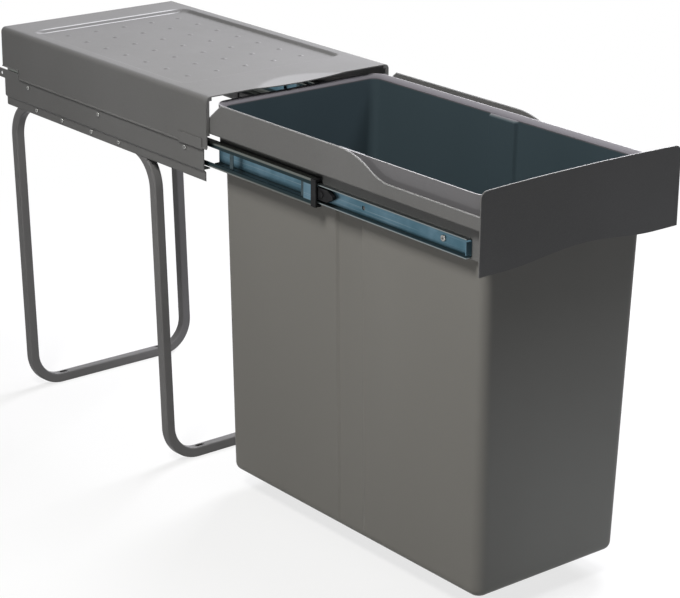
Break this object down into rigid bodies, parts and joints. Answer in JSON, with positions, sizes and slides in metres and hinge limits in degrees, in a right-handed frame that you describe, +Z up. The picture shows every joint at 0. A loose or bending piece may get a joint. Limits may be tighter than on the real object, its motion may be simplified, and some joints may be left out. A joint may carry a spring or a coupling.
{
  "type": "pull-out waste bin unit",
  "caption": "Pull-out cabinet waste bin: tall grey plastic bin hung in a slide-mounted carriage with a wide front plate, under a sheet cover on bent tube legs screwed to the floor.",
  "frame": {"origin": "on the cabinet floor, midway between the four floor-fixing slots", "axes": "+Z up, the drawer opens towards -Y, +Y is the rear of the cabinet, -X is the left side seen from the front"},
  "size_m": [0.268, 0.883, 0.468],
  "materials": {
    "grey_paint": "fine matt powder coat, warm grey",
    "zinc_steel": "bright zinc plate with a blue cast",
    "cage_steel": "dull stamped steel strip",
    "ball_steel": "polished bearing steel",
    "fastener_steel": "zinc-plated fasteners",
    "black_plastic": "black moulded plastic",
    "bin_plastic": "warm grey moulded plastic, fine satin"
  },
  "bodies": {
    "frame": {"top_cover": "grey_paint", "leg_tube_front": "grey_paint", "leg_tube_rear": "grey_paint", "leg_screws": "fastener_steel", "rail_slide_screws": "fastener_steel", "side_rail_left": "grey_paint", "side_rail_right": "grey_paint", "slide_cabinet_member_left": "zinc_steel", "slide_cabinet_member_right": "zinc_steel", "slide_cabinet_stop_left": "black_plastic", "slide_cabinet_stop_right": "black_plastic"},
    "drawer": {"slide_drawer_member_left": "zinc_steel", "slide_drawer_member_right": "zinc_steel", "lever_pivot_pins": "black_plastic", "carriage_side_left": "grey_paint", "carriage_side_right": "grey_paint", "side_panel_left": "grey_paint", "side_panel_right": "grey_paint", "panel_rivets": "fastener_steel", "rear_bar_rivets": "fastener_steel", "drawer_slide_screws": "fastener_steel", "carriage_rear_bar": "grey_paint", "front_plate": "grey_paint", "plate_studs": "fastener_steel", "plate_nuts": "fastener_steel"},
    "outer_cage_left": {"outer_ball_cage_left": "cage_steel", "outer_balls_left": "ball_steel"},
    "middle_left": {"slide_middle_member_left": "zinc_steel", "slide_middle_bumper_left": "black_plastic"},
    "inner_cage_left": {"inner_ball_cage_left": "cage_steel", "inner_balls_left": "ball_steel"},
    "lever_left": {"release_lever_left": "black_plastic"},
    "outer_cage_right": {"outer_ball_cage_right": "cage_steel", "outer_balls_right": "ball_steel"},
    "middle_right": {"slide_middle_member_right": "zinc_steel", "slide_middle_bumper_right": "black_plastic"},
    "inner_cage_right": {"inner_ball_cage_right": "cage_steel", "inner_balls_right": "ball_steel"},
    "lever_right": {"release_lever_right": "black_plastic"},
    "bin": {"bin": "bin_plastic"}
  },
  "joints": [
    {"name": "drawer_slide", "type": "slide", "parent": "frame", "child": "drawer", "axis": [0, 1, 0], "range_m": [0, 0.415]},
    {"name": "outer_cage_left_slide", "type": "slide", "parent": "frame", "child": "outer_cage_left", "axis": [0, 1, 0], "range_m": [0, 0.10375]},
    {"name": "middle_left_slide", "type": "slide", "parent": "frame", "child": "middle_left", "axis": [0, 1, 0], "range_m": [0, 0.2075]},
    {"name": "inner_cage_left_slide", "type": "slide", "parent": "frame", "child": "inner_cage_left", "axis": [0, 1, 0], "range_m": [0, 0.31125]},
    {"name": "lever_left_hinge", "type": "hinge", "parent": "drawer", "child": "lever_left", "pos_m": [-0.1165, -0.435, 0.3985], "axis": [1, 0, 0], "range_deg": [-4, 4], "stiffness_Nm_per_rad": 0.02},
    {"name": "outer_cage_right_slide", "type": "slide", "parent": "frame", "child": "outer_cage_right", "axis": [0, 1, 0], "range_m": [0, 0.10375]},
    {"name": "middle_right_slide", "type": "slide", "parent": "frame", "child": "middle_right", "axis": [0, 1, 0], "range_m": [0, 0.2075]},
    {"name": "inner_cage_right_slide", "type": "slide", "parent": "frame", "child": "inner_cage_right", "axis": [0, 1, 0], "range_m": [0, 0.31125]},
    {"name": "lever_right_hinge", "type": "hinge", "parent": "drawer", "child": "lever_right", "pos_m": [0.1165, -0.435, 0.3985], "axis": [1, 0, 0], "range_deg": [-4, 4], "stiffness_Nm_per_rad": 0.02},
    {"name": "bin_lift", "type": "slide", "parent": "drawer", "child": "bin", "axis": [0, 0, 1], "range_m": [0, 0.003]}
  ],
  "couplings": [
    {"joint": "outer_cage_left_slide", "follows": "drawer_slide", "ratio": 0.25},
    {"joint": "middle_left_slide", "follows": "drawer_slide", "ratio": 0.5},
    {"joint": "inner_cage_left_slide", "follows": "drawer_slide", "ratio": 0.75},
    {"joint": "outer_cage_right_slide", "follows": "drawer_slide", "ratio": 0.25},
    {"joint": "middle_right_slide", "follows": "drawer_slide", "ratio": 0.5},
    {"joint": "inner_cage_right_slide", "follows": "drawer_slide", "ratio": 0.75}
  ]
}
